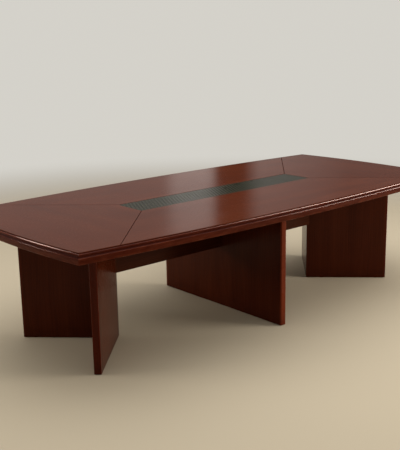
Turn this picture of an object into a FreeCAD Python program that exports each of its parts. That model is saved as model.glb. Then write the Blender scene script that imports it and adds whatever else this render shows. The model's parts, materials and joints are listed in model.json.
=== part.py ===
import FreeCAD, Part
import math
import os
import Sketcher

Vector = FreeCAD.Vector

# Driving dimensions in millimetres, angles in degrees.
# The table stands on the floor plane, long way along X, with the origin under its middle.
SIZES = [
    ("overall_length", 3000, "whole table, end to end over the moulding"),
    ("overall_width", 1380, "whole table, side to side at its widest"),
    ("table_height", 750, "floor to the upper face"),
    ("side_bow", 64, "how far each long side swells out between its corners"),
    ("end_bow", 41, "how far each end swells out between its corners"),
    ("field_thickness", 3, "veneered facing boards of the upper face"),
    ("core_thickness", 30, "board that carries the facings"),
    ("rim_depth", 58, "height of the moulded rim"),
    ("backing_width", 60, "strips under the core behind the rim"),
    ("inlay_margin", 795, "woven panel from each end of the table"),
    ("inlay_width", 225, "woven panel, short way"),
    ("inlay_thickness", 2.5, "woven panel, laid a little below the facings"),
    ("inlay_gap", 0.4, "space between the woven panel and the facings"),
    ("joint_bevel", 0.8, "bevel on each facing along the joints between them"),
    ("moulding_projection", 14, "rim moulding beyond the flat of the top"),
    ("moulding_tongue", 22, "rim moulding under the facings"),
    ("step_drop", 6, "drop from the flat of the top to the moulding's first ledge"),
    ("step_ledge", 1.5, "first ledge, before the round"),
    ("ovolo_radius", 8, "upper round of the moulding"),
    ("neck_drop", 1.5, "short upright under the round"),
    ("neck_set_back", 2.5, "undercut above the hollow"),
    ("cove_drop", 11, "height of the hollow"),
    ("cove_radius", 12, "radius of the hollow"),
    ("fascia_ledge", 2, "ledge between the hollow and the lower face"),
    ("fascia_radius", 1.5, "rounding at the top of the lower face"),
    ("lower_radius", 3, "rounding at the foot of the lower face"),
    ("straight_end", 30, "moulding runs straight for this length up to each mitre"),
    ("support_thickness", 40, "upright panels of the supports"),
    ("arm_length", 556, "outer face of a pedestal arm"),
    ("arm_angle", 45, "arm of a pedestal from the table's long axis"),
    ("apex_inset", 684, "meeting edge of two arms from the end of the table"),
    ("middle_inset", 145, "middle support from each long side of the table"),
    ("lipping_depth", 12, "solid wood edges of the upright panels"),
    ("lipping_radius", 5, "rounding of those edges"),
    ("block_leg", 60, "glue block inside the corner of a pedestal"),
    ("block_margin", 40, "glue block short of the panels' upper and lower edges"),
    ("rail_thickness", 25, "rails between the supports"),
    ("rail_bottom", 389, "floor to the lower edge of the rails"),
    ("bolt_radius", 3, "bolts and studs that hold the rails"),
    ("bolt_clearance", 0.3, "room round a bolt in wood"),
    ("bolt_inset", 60, "bolts from the rails' upper and lower edges"),
    ("bolt_spare", 8, "bolt beyond its barrel nut"),
    ("bolt_head_radius", 8, "flat bolt heads on the glue blocks"),
    ("bolt_head_height", 3, "flat bolt heads on the glue blocks"),
    ("nut_radius", 5, "barrel nuts in the rails"),
    ("nut_length", 16, "barrel nuts in the rails"),
    ("nut_distance", 40, "barrel nuts from the ends of the rails"),
    ("bracket_leg", 50, "steel angle between a panel and the top"),
    ("bracket_width", 60, "steel angle, along the panel"),
    ("bracket_thickness", 3, "steel angle"),
    ("bracket_inner", 150, "inner angle of each arm, from the meeting edge"),
    ("bracket_near", 150, "inner angles of the middle support, from its middle"),
    ("bracket_margin", 126, "outer angles from the free ends of a panel"),
    ("screw_reach", 30, "screws from the corner of an angle"),
    ("screw_spread", 32, "two screws of one leg, apart"),
    ("screw_radius", 2.25, "shank of an angle's screw"),
    ("screw_clearance", 0.3, "room round a screw in an angle"),
    ("screw_length", 20, "screw under its head"),
    ("screw_head_radius", 4.5, "head of an angle's screw"),
    ("screw_head_height", 2.6, "head of an angle's screw"),
    ("glide_foot_radius", 15, "foot of a levelling glide"),
    ("glide_foot_height", 4, "foot of a levelling glide, panel to floor"),
    ("glide_foot_bevel", 1, "lower edge of a glide's foot"),
    ("glide_stem_radius", 4, "stem of a levelling glide"),
    ("glide_stem_length", 28, "stem of a levelling glide above its foot"),
    ("glide_clearance", 0.05, "running fit of a stem in its insert"),
    ("glide_inset", 70, "glides from the ends of a panel"),
    ("insert_radius", 6, "steel insert that a glide screws into"),
    ("insert_length", 24, "steel insert that a glide screws into"),
    ("socket_spare", 4, "bore above a glide's stem"),
    ("cut_overrun", 60, "how far a cutting shape runs past what it cuts"),
]

# Places worked out from the driving dimensions.
# The flat of the top is the part inside the moulding; its corners are where its four arcs meet.
LAYOUT = [
    ("inlay_length", "Sizes.overall_length - 2 * Sizes.inlay_margin"),
    ("apex_distance", "Sizes.overall_length / 2 - Sizes.apex_inset"),
    ("middle_width", "Sizes.overall_width - 2 * Sizes.middle_inset"),
    ("bracket_outer", "Sizes.arm_length - Sizes.bracket_margin"),
    ("bracket_far", "middle_width / 2 - Sizes.bracket_margin"),
    ("flat_corner_x", "Sizes.overall_length / 2 - Sizes.moulding_projection - Sizes.end_bow"),
    ("flat_corner_y", "Sizes.overall_width / 2 - Sizes.moulding_projection - Sizes.side_bow"),
    ("side_radius", "(flat_corner_x ^ 2 + Sizes.side_bow ^ 2) / (2 * Sizes.side_bow)"),
    ("end_radius", "(flat_corner_y ^ 2 + Sizes.end_bow ^ 2) / (2 * Sizes.end_bow)"),
    ("side_centre", "side_radius - flat_corner_y - Sizes.side_bow"),
    ("end_centre", "end_radius - flat_corner_x - Sizes.end_bow"),
    ("side_half_angle", "asin(flat_corner_x / side_radius) / 1deg"),
    ("end_half_angle", "asin(flat_corner_y / end_radius) / 1deg"),
    ("mitre_turn", "(90 - side_half_angle - end_half_angle) / 2"),
    ("inlay_depth", "Sizes.inlay_width / 2 + side_centre"),
    ("joint_sum", "inlay_length / 2 + inlay_depth"),
    ("joint_rest", "(inlay_length / 2) ^ 2 + inlay_depth ^ 2 - side_radius ^ 2"),
    ("joint_run", "(sqrt(joint_sum ^ 2 - 2 * joint_rest) - joint_sum) / 2"),
    ("joint_x", "inlay_length / 2 + joint_run"),
    ("joint_y", "Sizes.inlay_width / 2 + joint_run"),
    ("core_top", "Sizes.table_height - Sizes.field_thickness"),
    ("underside", "core_top - Sizes.core_thickness"),
    ("rim_bottom", "Sizes.table_height - Sizes.rim_depth"),
    ("panel_bottom", "Sizes.glide_foot_height"),
    ("panel_height", "underside - panel_bottom"),
    ("half_support", "Sizes.support_thickness / 2"),
    ("arm_body_length", "Sizes.arm_length - Sizes.lipping_depth"),
    ("inner_start", "Sizes.support_thickness / tan(Sizes.arm_angle)"),
    ("inner_corner", "Sizes.support_thickness / sin(Sizes.arm_angle)"),
    ("block_face", "inner_corner + Sizes.block_leg * cos(Sizes.arm_angle)"),
    ("middle_body_half", "middle_width / 2 - Sizes.lipping_depth"),
    ("rail_length", "apex_distance - half_support"),
    ("bolt_low", "Sizes.rail_bottom + Sizes.bolt_inset"),
    ("bolt_high", "underside - Sizes.bolt_inset"),
    ("bolt_hole", "Sizes.bolt_radius + Sizes.bolt_clearance"),
    ("bolt_reach", "Sizes.nut_distance + Sizes.bolt_spare"),
    ("screw_grip", "Sizes.screw_length - Sizes.bracket_thickness"),
    ("socket_depth", "Sizes.glide_stem_length + Sizes.socket_spare"),
    ("stem_bore", "Sizes.glide_stem_radius + Sizes.glide_clearance"),
]

# Marks a corner from which the outline curves inward.
HOLLOW = "hollow"

doc = FreeCAD.newDocument("ConferenceTable")
nodes = []


def fill_sheet(name, rows, text_of):
    sheet = doc.addObject("Spreadsheet::Sheet", name)
    for number, row in enumerate(rows, start=1):
        sheet.set(f"A{number}", row[-1])
        sheet.set(f"B{number}", text_of(row[1]))
        sheet.setAlias(f"B{number}", row[0])
    doc.recompute()
    return sheet


fill_sheet("Sizes", SIZES, str)
layout = fill_sheet("Layout", LAYOUT, lambda formula: "=" + formula)


def number(expression):
    """The plain number that an expression over the two sheets comes to."""
    result = layout.evalExpression(expression)
    return float(getattr(result, "Value", result))


def minus(expression):
    return f"-1 * ({expression})"


def new_body(label, is_node=True):
    body = doc.addObject("PartDesign::Body", label)
    body.Label = label
    if is_node:
        nodes.append(body)
    return body


def place(thing, x="0", y="0", z="0", turn=0.0, tilt=None):
    """Put a piece at x, y, z, turned about the vertical by so many degrees, tilted first if asked."""
    rotation = FreeCAD.Rotation(Vector(0, 0, 1), turn)
    if tilt is not None:
        rotation = rotation.multiply(tilt)
    thing.Placement = FreeCAD.Placement(Vector(0, 0, 0), rotation)
    for axis, expression in (("x", x), ("y", y), ("z", z)):
        thing.setExpression(f"Placement.Base.{axis}", expression)
    return thing


def origin_item(body, role):
    return [item for item in body.Origin.OriginFeatures if item.Role == role][0]


def new_sketch(body, name, role="XY_Plane", offset="0", turn=None):
    """A sketch on one of the body's own planes, moved along the plane's normal by an offset."""
    sketch = body.newObject("Sketcher::SketchObject", name)
    plane = origin_item(body, role)
    sketch.AttachmentSupport = [(plane, "")]
    sketch.MapMode = "FlatFace"
    if turn is not None:
        sketch.AttachmentOffset = FreeCAD.Placement(Vector(0, 0, 0), FreeCAD.Rotation(Vector(0, 1, 0), turn))
    sketch.setExpression("AttachmentOffset.Base.z", offset)
    return sketch


def pin(sketch, item, point, x, y):
    """Tie a point of the sketch to a place given by two expressions."""
    for kind, expression in (("DistanceX", x), ("DistanceY", y)):
        constraint = Sketcher.Constraint(kind, -1, 1, item, point, number(expression))
        place_index = sketch.addConstraint(constraint)
        sketch.setExpression(f"Constraints[{place_index}]", expression)


def arc_middle(start, end, radius, outward):
    """The middle of the arc between two points of an outline that runs anticlockwise."""
    chord = end - start
    half = chord.Length / 2
    rise = radius - math.sqrt(radius ** 2 - half ** 2)
    away = Vector(chord.y, -chord.x, 0).normalize()
    return (start + end) / 2 + away * (rise if outward else -rise)


def outline(sketch, corners):
    """Close an anticlockwise outline.

    A corner may also give the radius of an arc from it to the next one, and say that the arc is hollow.
    """
    points = [Vector(number(corner[0]), number(corner[1]), 0) for corner in corners]
    ends = []
    for index, (start, (_, _, *curve)) in enumerate(zip(points, corners)):
        end = points[(index + 1) % len(points)]
        if not curve:
            item = sketch.addGeometry(Part.LineSegment(start, end))
            ends.append((item, 1, 2))
            continue
        radius, hollow = curve[0], HOLLOW in curve
        middle = arc_middle(start, end, number(radius), not hollow)
        if hollow:
            item = sketch.addGeometry(Part.Arc(end, middle, start))
            ends.append((item, 2, 1))
        else:
            item = sketch.addGeometry(Part.Arc(start, middle, end))
            ends.append((item, 1, 2))
        rule = sketch.addConstraint(Sketcher.Constraint("Radius", item, number(radius)))
        sketch.setExpression(f"Constraints[{rule}]", radius)
    for index, (item, _, last) in enumerate(ends):
        following, first, _ = ends[(index + 1) % len(ends)]
        sketch.addConstraint(Sketcher.Constraint("Coincident", item, last, following, first))
    for (item, first, _), (x, y, *_) in zip(ends, corners):
        pin(sketch, item, first, x, y)
    return sketch


def rectangle(sketch, left, low, right, high):
    return outline(sketch, [(left, low), (right, low), (right, high), (left, high)])


def circles(sketch, spots, radius):
    """Round outlines of one radius at the given places."""
    for x, y in spots:
        centre = Vector(number(x), number(y), 0)
        item = sketch.addGeometry(Part.Circle(centre, Vector(0, 0, 1), number(radius)))
        pin(sketch, item, 3, x, y)
        rule = sketch.addConstraint(Sketcher.Constraint("Radius", item, number(radius)))
        sketch.setExpression(f"Constraints[{rule}]", radius)
    return sketch


def pad(body, sketch, length, backward=False, both_ways=False):
    feature = body.newObject("PartDesign::Pad", sketch.Name + "_pad")
    feature.Profile = sketch
    feature.Midplane = both_ways
    feature.Reversed = backward
    feature.setExpression("Length", length)
    doc.recompute()
    return feature


def pocket(body, sketch, depth, backward=False, both_ways=False):
    """Cut the sketch into the body and make sure that it took something away."""
    before = body.Shape.Volume
    feature = body.newObject("PartDesign::Pocket", sketch.Name + "_pocket")
    feature.Profile = sketch
    feature.Midplane = both_ways
    feature.Reversed = backward
    feature.setExpression("Length", depth)
    doc.recompute()
    if not body.Shape.Volume < before:
        raise RuntimeError(f"{sketch.Name} cuts nothing")
    return feature


def edges_where(shape, test):
    return [f"Edge{index}" for index, edge in enumerate(shape.Edges, start=1) if test(edge)]


def is_upright(edge):
    low, high = edge.Vertexes[0].Point, edge.Vertexes[-1].Point
    return Vector(high.x - low.x, high.y - low.y, 0).Length < abs(high.z - low.z)


def round_edges(body, feature, test, radius):
    fillet = body.newObject("PartDesign::Fillet", body.Name + "_rounding")
    fillet.Base = (feature, edges_where(feature.Shape, test))
    fillet.setExpression("Radius", radius)
    doc.recompute()
    return fillet


def turned(body, name, corners):
    """Turn an outline, given as distance from the axis and height, once round the upright axis."""
    sketch = outline(new_sketch(body, name, "XZ_Plane"), corners)
    feature = body.newObject("PartDesign::Revolution", name + "_turned")
    feature.Profile = sketch
    feature.ReferenceAxis = (origin_item(body, "Z_Axis"), [""])
    feature.Angle = 360
    doc.recompute()
    return feature


# Directions on plan, in degrees from the table's right-hand end.
FACING_RIGHT_ANGLE = 0
FACING_BACK_ANGLE = 90
FACING_LEFT_ANGLE = 180
FACING_FRONT_ANGLE = -90

# The four stretches of the rim run round upright axes far outside the table.
# Each has its centre, the way it faces, its radius and half the angle between its corners.
STRETCHES = {
    "front": ("0", "Layout.side_centre", FACING_FRONT_ANGLE, "Layout.side_radius", "Layout.side_half_angle"),
    "back": ("0", minus("Layout.side_centre"), FACING_BACK_ANGLE, "Layout.side_radius",
             "Layout.side_half_angle"),
    "left": ("Layout.end_centre", "0", FACING_LEFT_ANGLE, "Layout.end_radius", "Layout.end_half_angle"),
    "right": (minus("Layout.end_centre"), "0", FACING_RIGHT_ANGLE, "Layout.end_radius",
              "Layout.end_half_angle"),
}


def curved_length(label, side, corners, straight_end=None):
    """A length of wood bent along one side of the table and mitred at both ends.

    Its section is given as distance out from the edge of the flat and height above the floor.
    With a straight end, the bend stops that far before each corner and the wood goes on straight.
    """
    centre_x, centre_y, facing, radius, half_angle = STRETCHES[side]
    body = new_body(label)
    section = [(f"{radius} + ({out})", *rest) for out, *rest in corners]
    sketch = outline(new_sketch(body, label + "_section", "XZ_Plane"), section)
    bend = body.newObject("PartDesign::Revolution", label + "_bend")
    bend.Profile = sketch
    bend.ReferenceAxis = (origin_item(body, "Z_Axis"), [""])
    bend.Midplane = True
    beyond = minus(straight_end) if straight_end else "Sizes.cut_overrun"
    stop = f"({half_angle} + asin({beyond} / {radius}) / 1deg)"
    bend.setExpression("Angle", f"2 * {stop}")
    doc.recompute()
    if straight_end:
        for name, sign in (("start", -1), ("finish", 1)):
            end = new_sketch(body, f"{label}_end_{name}", "XZ_Plane", turn=sign * number(stop))
            outline(end, section)
            pad(body, end, f"{straight_end} + Sizes.cut_overrun", backward=sign > 0)
    mitre_both_ends(body, label, radius, half_angle)
    return place(body, centre_x, centre_y, "0", facing)


def mitre_both_ends(body, label, radius, half_angle):
    """Cut both ends along the lines that halve the corners of the flat."""
    reach = "(Sizes.backing_width + Sizes.moulding_tongue + Sizes.cut_overrun)"
    for name, sign in (("start", -1), ("finish", 1)):
        slope = f"({half_angle} + Layout.mitre_turn)"
        corner = (f"{radius} * cos({half_angle})", f"{sign} * {radius} * sin({half_angle})")
        along = (f"{reach} * cos({slope})", f"{sign} * {reach} * sin({slope})")
        across = (f"-1 * {reach} * sin({slope})", f"{sign} * {reach} * cos({slope})")
        inner = [f"{corner[i]} - {along[i]}" for i in range(2)]
        outer = [f"{corner[i]} + {along[i]}" for i in range(2)]
        far_outer = [f"{outer[i]} + {across[i]}" for i in range(2)]
        far_inner = [f"{inner[i]} + {across[i]}" for i in range(2)]
        corners = [inner, outer, far_outer, far_inner]
        if sign < 0:
            corners.reverse()
        sketch = outline(new_sketch(body, f"{label}_mitre_{name}"), corners)
        pocket(body, sketch, "2 * Sizes.table_height + Sizes.cut_overrun", both_ways=True)


def edge_moulding(side):
    """Solid wood rim: a ledge, a round, a hollow and a plain lower face."""
    top = "Sizes.table_height"
    ledge = f"{top} - Sizes.step_drop"
    round_out = "Sizes.step_ledge + Sizes.ovolo_radius"
    round_foot = f"{ledge} - Sizes.ovolo_radius"
    neck = f"{round_foot} - Sizes.neck_drop"
    cove_foot = f"{neck} - Sizes.cove_drop"
    face = "Sizes.moulding_projection"
    corners = [
        (minus("Sizes.moulding_tongue"), "Layout.rim_bottom"),
        (f"{face} - Sizes.lower_radius", "Layout.rim_bottom", "Sizes.lower_radius"),
        (face, "Layout.rim_bottom + Sizes.lower_radius"),
        (face, f"{cove_foot} - Sizes.fascia_radius", "Sizes.fascia_radius"),
        (f"{face} - Sizes.fascia_radius", cove_foot),
        (f"{face} - Sizes.fascia_ledge", cove_foot, "Sizes.cove_radius", HOLLOW),
        (f"{round_out} - Sizes.neck_set_back", neck),
        (round_out, neck),
        (round_out, round_foot, "Sizes.ovolo_radius"),
        ("Sizes.step_ledge", ledge),
        ("0", ledge),
        ("0", "Layout.core_top"),
        (minus("Sizes.moulding_tongue"), "Layout.core_top"),
    ]
    curved_length(f"edge_moulding_{side}", side, corners, "Sizes.straight_end")


def rim_backing(side):
    """Strip that thickens the edge of the core behind the moulding."""
    inner = "-1 * Sizes.moulding_tongue - Sizes.backing_width"
    outer = minus("Sizes.moulding_tongue")
    corners = [(inner, "Layout.rim_bottom"), (outer, "Layout.rim_bottom"), (outer, "Layout.underside"),
               (inner, "Layout.underside")]
    curved_length(f"rim_backing_{side}", side, corners)


def core_arc(sketch, centre, radius, start, end):
    """One side of the core's outline, tied by its centre and its radius."""
    middle = Vector(number(centre[0]), number(centre[1]), 0)
    circle = Part.Circle(middle, Vector(0, 0, 1), number(radius))
    angles = [math.atan2(point.y - middle.y, point.x - middle.x) for point in (start, end)]
    item = sketch.addGeometry(Part.ArcOfCircle(circle, angles[0], angles[1]))
    pin(sketch, item, 3, centre[0], centre[1])
    rule = sketch.addConstraint(Sketcher.Constraint("Radius", item, number(radius)))
    sketch.setExpression(f"Constraints[{rule}]", radius)
    return item


def core_board():
    """Board that carries the facings, inside the moulding, drilled for the angles' screws."""
    body = new_body("top_core_board")
    sketch = new_sketch(body, "core_outline", offset="Layout.underside")
    tongue = number("Sizes.moulding_tongue")
    x = number("Layout.flat_corner_x") - tongue
    y = number("Layout.flat_corner_y") - tongue
    corners = [Vector(-x, -y, 0), Vector(x, -y, 0), Vector(x, y, 0), Vector(-x, y, 0)]
    arcs = []
    for index, side in enumerate(("front", "right", "back", "left")):
        centre_x, centre_y, _, radius, _ = STRETCHES[side]
        inset = f"{radius} - Sizes.moulding_tongue"
        start, end = corners[index], corners[(index + 1) % 4]
        arcs.append(core_arc(sketch, (centre_x, centre_y), inset, start, end))
    for index, item in enumerate(arcs):
        sketch.addConstraint(Sketcher.Constraint("Coincident", item, 2, arcs[(index + 1) % 4], 1))
    pad(body, sketch, "Sizes.core_thickness")
    spots = [spot for station in bracket_stations() for spot in screw_spots(station)]
    pilots = circles(new_sketch(body, "core_pilots", offset="Layout.underside"), spots, "Sizes.screw_radius")
    pocket(body, pilots, "Layout.screw_grip", backward=True)


def facing(label, corners):
    """One veneered facing, bevelled where it meets its neighbours and the woven panel."""
    body = new_body(label)
    sketch = outline(new_sketch(body, label + "_outline", offset="Layout.core_top"), corners)
    board = pad(body, sketch, "Sizes.field_thickness")
    bevel = body.newObject("PartDesign::Chamfer", label + "_bevel")
    bevel.Base = (board, edges_where(board.Shape, is_upper_joint))
    bevel.setExpression("Size", "Sizes.joint_bevel")
    doc.recompute()


def is_upper_joint(edge):
    """True for the upper straight edges of a facing, which are its joints."""
    if not isinstance(edge.Curve, Part.Line):
        return False
    small = number("Sizes.joint_bevel") / 2
    return all(abs(vertex.Z - number("Sizes.table_height")) < small for vertex in edge.Vertexes)


def facings():
    """Two long fields and two end fields, joined along lines from the woven panel's corners."""
    half_length, half_width = "Layout.inlay_length / 2", "Sizes.inlay_width / 2"
    for label, sign in (("top_field_front", -1), ("top_field_back", 1)):
        facing(label, [
            (f"{sign} * Layout.joint_x", f"{sign} * Layout.joint_y", "Layout.side_radius"),
            (f"{-sign} * Layout.joint_x", f"{sign} * Layout.joint_y"),
            (f"{-sign} * {half_length}", f"{sign} * {half_width}"),
            (f"{sign} * {half_length}", f"{sign} * {half_width}"),
        ])
    for label, sign in (("top_field_left", -1), ("top_field_right", 1)):
        facing(label, [
            (f"{sign} * {half_length}", f"{-sign} * {half_width}"),
            (f"{sign} * Layout.joint_x", f"{-sign} * Layout.joint_y", "Layout.side_radius"),
            (f"{sign} * Layout.flat_corner_x", f"{-sign} * Layout.flat_corner_y", "Layout.end_radius"),
            (f"{sign} * Layout.flat_corner_x", f"{sign} * Layout.flat_corner_y", "Layout.side_radius"),
            (f"{sign} * Layout.joint_x", f"{sign} * Layout.joint_y"),
            (f"{sign} * {half_length}", f"{sign} * {half_width}"),
        ])


def woven_inlay():
    """The long dark woven panel, let in between the facings."""
    body = new_body("woven_inlay")
    half_length = "(Layout.inlay_length / 2 - Sizes.inlay_gap)"
    half_width = "(Sizes.inlay_width / 2 - Sizes.inlay_gap)"
    sketch = new_sketch(body, "inlay_outline", offset="Layout.core_top")
    rectangle(sketch, minus(half_length), minus(half_width), half_length, half_width)
    pad(body, sketch, "Sizes.inlay_thickness")


# A pedestal is two arms that meet in an upright edge and open towards the end of the table.
# Each arm lies along its own X axis from that edge; the named arm has the other one on its right.
PEDESTALS = {
    "left": (minus("Layout.apex_distance"), FACING_LEFT_ANGLE, "front"),
    "right": ("Layout.apex_distance", FACING_RIGHT_ANGLE, "back"),
}


def arm_turn(side, end):
    """Direction of an arm on plan, and the side of it that faces into the corner."""
    _, facing_turn, clockwise_arm = PEDESTALS[side]
    inward = -1 if end == clockwise_arm else 1
    return facing_turn - inward * number("Sizes.arm_angle"), inward


def glide_spots_on_arm(inward):
    """Where an arm's inner and outer glides stand, along the arm and across it."""
    middle = f"{inward} * Layout.half_support"
    places = ("Layout.inner_start + Sizes.glide_inset", "Sizes.arm_length - Sizes.glide_inset")
    return [(along, middle) for along in places]


def drill_sockets(body, label, spots):
    """Bores for the inserts and the glides' stems, up from the lower edge."""
    sketch = circles(new_sketch(body, label + "_sockets"), spots, "Sizes.insert_radius")
    pocket(body, sketch, "Layout.socket_depth", backward=True)


def arm_panel(side, end):
    turn, inward = arm_turn(side, end)
    label = f"pedestal_{side}_{end}_panel"
    body = new_body(label)
    inner_y = f"{inward} * Sizes.support_thickness"
    corners = [("0", "0"), ("Layout.arm_body_length", "0"), ("Layout.arm_body_length", inner_y),
               ("Layout.inner_start", inner_y)]
    if inward < 0:
        corners.reverse()
    pad(body, outline(new_sketch(body, label + "_outline"), corners), "Layout.panel_height")
    drill_sockets(body, label, glide_spots_on_arm(inward))
    drill_arm_for_brackets(body, label, inward)
    drill_arm_for_bolts(body, label, inward)
    place(body, PEDESTALS[side][0], "0", "Layout.panel_bottom", turn)


def drill_arm_for_brackets(body, label, inward):
    """Pilot holes in the inner face for the screws of the angles."""
    height = "Layout.panel_height - Sizes.screw_reach"
    spots = []
    for station in ("Sizes.bracket_inner", "Layout.bracket_outer"):
        spots.append((f"{station} - Sizes.screw_spread / 2", height))
        spots.append((f"{station} + Sizes.screw_spread / 2", height))
    sketch = new_sketch(body, label + "_pilots", "XZ_Plane", offset=f"{-inward} * Sizes.support_thickness")
    circles(sketch, spots, "Sizes.screw_radius")
    pocket(body, sketch, "Layout.screw_grip", backward=inward > 0)


def drill_arm_for_bolts(body, label, inward):
    """Half of each bolt hole that runs along the mitre between the two arms."""
    sketch = new_sketch(body, label + "_bolt_holes", "YZ_Plane", turn=inward * number("Sizes.arm_angle"))
    spots = [("0", f"{height} - Layout.panel_bottom") for height in ("Layout.bolt_low", "Layout.bolt_high")]
    circles(sketch, spots, "Layout.bolt_hole")
    pocket(body, sketch, "2 * Layout.inner_corner + Sizes.cut_overrun", both_ways=True)


def arm_lipping(side, end):
    """Solid wood edge of an arm, rounded at its outer corners."""
    turn, inward = arm_turn(side, end)
    label = f"pedestal_{side}_{end}_lipping"
    body = new_body(label)
    sketch = new_sketch(body, label + "_outline")
    thickness = f"{inward} * Sizes.support_thickness"
    low, high = ("0", thickness) if inward > 0 else (thickness, "0")
    rectangle(sketch, "Layout.arm_body_length", low, "Sizes.arm_length", high)
    strip = pad(body, sketch, "Layout.panel_height")
    middle = number("Layout.arm_body_length + Sizes.lipping_depth / 2")
    round_edges(body, strip, lambda edge: is_upright(edge) and edge.CenterOfMass.x > middle,
                "Sizes.lipping_radius")
    place(body, PEDESTALS[side][0], "0", "Layout.panel_bottom", turn)


def corner_block(side):
    """Three-cornered glue block behind the meeting edge, drilled for the rail's bolts."""
    apex, facing_turn, _ = PEDESTALS[side]
    label = f"pedestal_{side}_corner_block"
    body = new_body(label)
    half = "Sizes.block_leg * sin(Sizes.arm_angle)"
    corners = [("Layout.inner_corner", "0"), ("Layout.block_face", minus(half)), ("Layout.block_face", half)]
    sketch = outline(new_sketch(body, label + "_outline"), corners)
    pad(body, sketch, "Layout.panel_height - 2 * Sizes.block_margin")
    base = "Layout.panel_bottom + Sizes.block_margin"
    spots = [("0", f"{height} - ({base})") for height in ("Layout.bolt_low", "Layout.bolt_high")]
    holes = circles(new_sketch(body, label + "_holes", "YZ_Plane"), spots, "Layout.bolt_hole")
    pocket(body, holes, "Layout.block_face + Sizes.cut_overrun", backward=True)
    place(body, apex, "0", base, facing_turn)


def middle_panel():
    body = new_body("middle_panel")
    half, long_half = "Layout.half_support", "Layout.middle_body_half"
    sketch = new_sketch(body, "middle_outline")
    rectangle(sketch, minus(half), minus(long_half), half, long_half)
    pad(body, sketch, "Layout.panel_height")
    drill_sockets(body, "middle", middle_glide_spots())
    spots = []
    for station in middle_bracket_places():
        spots.append((f"{station} - Sizes.screw_spread / 2", "Layout.panel_height - Sizes.screw_reach"))
        spots.append((f"{station} + Sizes.screw_spread / 2", "Layout.panel_height - Sizes.screw_reach"))
    pilots = circles(new_sketch(body, "middle_pilots", "YZ_Plane", offset=half), spots, "Sizes.screw_radius")
    pocket(body, pilots, "Layout.screw_grip")
    heights = ("Layout.bolt_low", "Layout.bolt_high")
    holes = [("0", f"{height} - Layout.panel_bottom") for height in heights]
    studs = circles(new_sketch(body, "middle_stud_holes", "YZ_Plane"), holes, "Layout.bolt_hole")
    pocket(body, studs, "Sizes.support_thickness + Sizes.cut_overrun", both_ways=True)
    place(body, z="Layout.panel_bottom")


def middle_bracket_places():
    distances = ("Sizes.bracket_near", "Layout.bracket_far")
    return [f"{sign} * {distance}" for sign in (-1, 1) for distance in distances]


def middle_glide_spots():
    distance = "(Layout.middle_width / 2 - Sizes.glide_inset)"
    return [("0", minus(distance)), ("0", distance)]


def middle_lipping(end, sign):
    """Solid wood edge of the middle support, rounded at its outer corners."""
    label = f"middle_{end}_lipping"
    body = new_body(label)
    near, far = f"{sign} * Layout.middle_body_half", f"{sign} * Layout.middle_width / 2"
    low, high = (near, far) if sign > 0 else (far, near)
    sketch = new_sketch(body, label + "_outline")
    rectangle(sketch, minus("Layout.half_support"), low, "Layout.half_support", high)
    strip = pad(body, sketch, "Layout.panel_height")
    middle = number("Layout.middle_body_half + Sizes.lipping_depth / 2")
    round_edges(body, strip, lambda edge: is_upright(edge) and sign * edge.CenterOfMass.y > middle,
                "Sizes.lipping_radius")
    place(body, z="Layout.panel_bottom")


def rail(side, turn, back):
    """Upright board from the middle support to a pedestal, notched over the meeting edge.

    It is bored from its ends for bolts and from its back face for barrel nuts.
    """
    label = f"rail_{side}"
    body = new_body(label)
    half = "Sizes.rail_thickness / 2"
    cheek = f"Layout.rail_length + {half} / tan(Sizes.arm_angle)"
    corners = [("0", minus(half)), (cheek, minus(half)), ("Layout.rail_length", "0"), (cheek, half),
               ("0", half)]
    pad(body, outline(new_sketch(body, label + "_outline"), corners), "Layout.underside - Sizes.rail_bottom")
    heights = [f"{height} - Sizes.rail_bottom" for height in ("Layout.bolt_low", "Layout.bolt_high")]
    bores = [("0", height) for height in heights]
    near = circles(new_sketch(body, label + "_near_bores", "YZ_Plane"), bores, "Layout.bolt_hole")
    pocket(body, near, "Layout.bolt_reach", backward=True)
    far = circles(new_sketch(body, label + "_far_bores", "YZ_Plane", offset=cheek), bores, "Layout.bolt_hole")
    pocket(body, far, f"Layout.bolt_reach + {cheek} - Layout.rail_length")
    nut_places = ("Sizes.nut_distance", "Layout.rail_length - Sizes.nut_distance")
    spots = [(x, height) for x in nut_places for height in heights]
    cross = new_sketch(body, label + "_nut_bores", "XZ_Plane", offset=f"{-back} * {half}")
    circles(cross, spots, "Sizes.nut_radius")
    pocket(body, cross, f"{half} + Sizes.nut_length / 2", backward=back > 0)
    start = "Layout.half_support" if turn == 0 else minus("Layout.half_support")
    place(body, start, "0", "Sizes.rail_bottom", turn)


def group(label, master, places):
    """One node that holds copies of a piece, each put at its own place."""
    copies = []
    for index, where in enumerate(places, start=1):
        copy = doc.addObject("App::Link", f"{label}_{index}")
        copy.LinkedObject = master
        copies.append(place(copy, *where))
    node = doc.addObject("Part::Compound", label)
    node.Label = label
    node.Links = copies
    nodes.append(node)
    return node


def steel_angle():
    """Angle with two screw holes in each leg; its corner is at the origin, under the top."""
    body = new_body("steel_angle", is_node=False)
    leg, thick = "Sizes.bracket_leg", "Sizes.bracket_thickness"
    corners = [("0", minus(leg)), (thick, minus(leg)), (thick, minus(thick)), (leg, minus(thick)),
               (leg, "0"), ("0", "0")]
    section = outline(new_sketch(body, "angle_section", "XZ_Plane"), corners)
    pad(body, section, "Sizes.bracket_width", both_ways=True)
    hole = "Sizes.screw_radius + Sizes.screw_clearance"
    sides = [f"{sign} * Sizes.screw_spread / 2" for sign in (-1, 1)]
    flat = circles(new_sketch(body, "angle_flat_holes"), [("Sizes.screw_reach", y) for y in sides], hole)
    pocket(body, flat, "Sizes.cut_overrun")
    spots = [(y, minus("Sizes.screw_reach")) for y in sides]
    wall = circles(new_sketch(body, "angle_wall_holes", "YZ_Plane"), spots, hole)
    pocket(body, wall, "Sizes.cut_overrun", backward=True)
    return body


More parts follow.
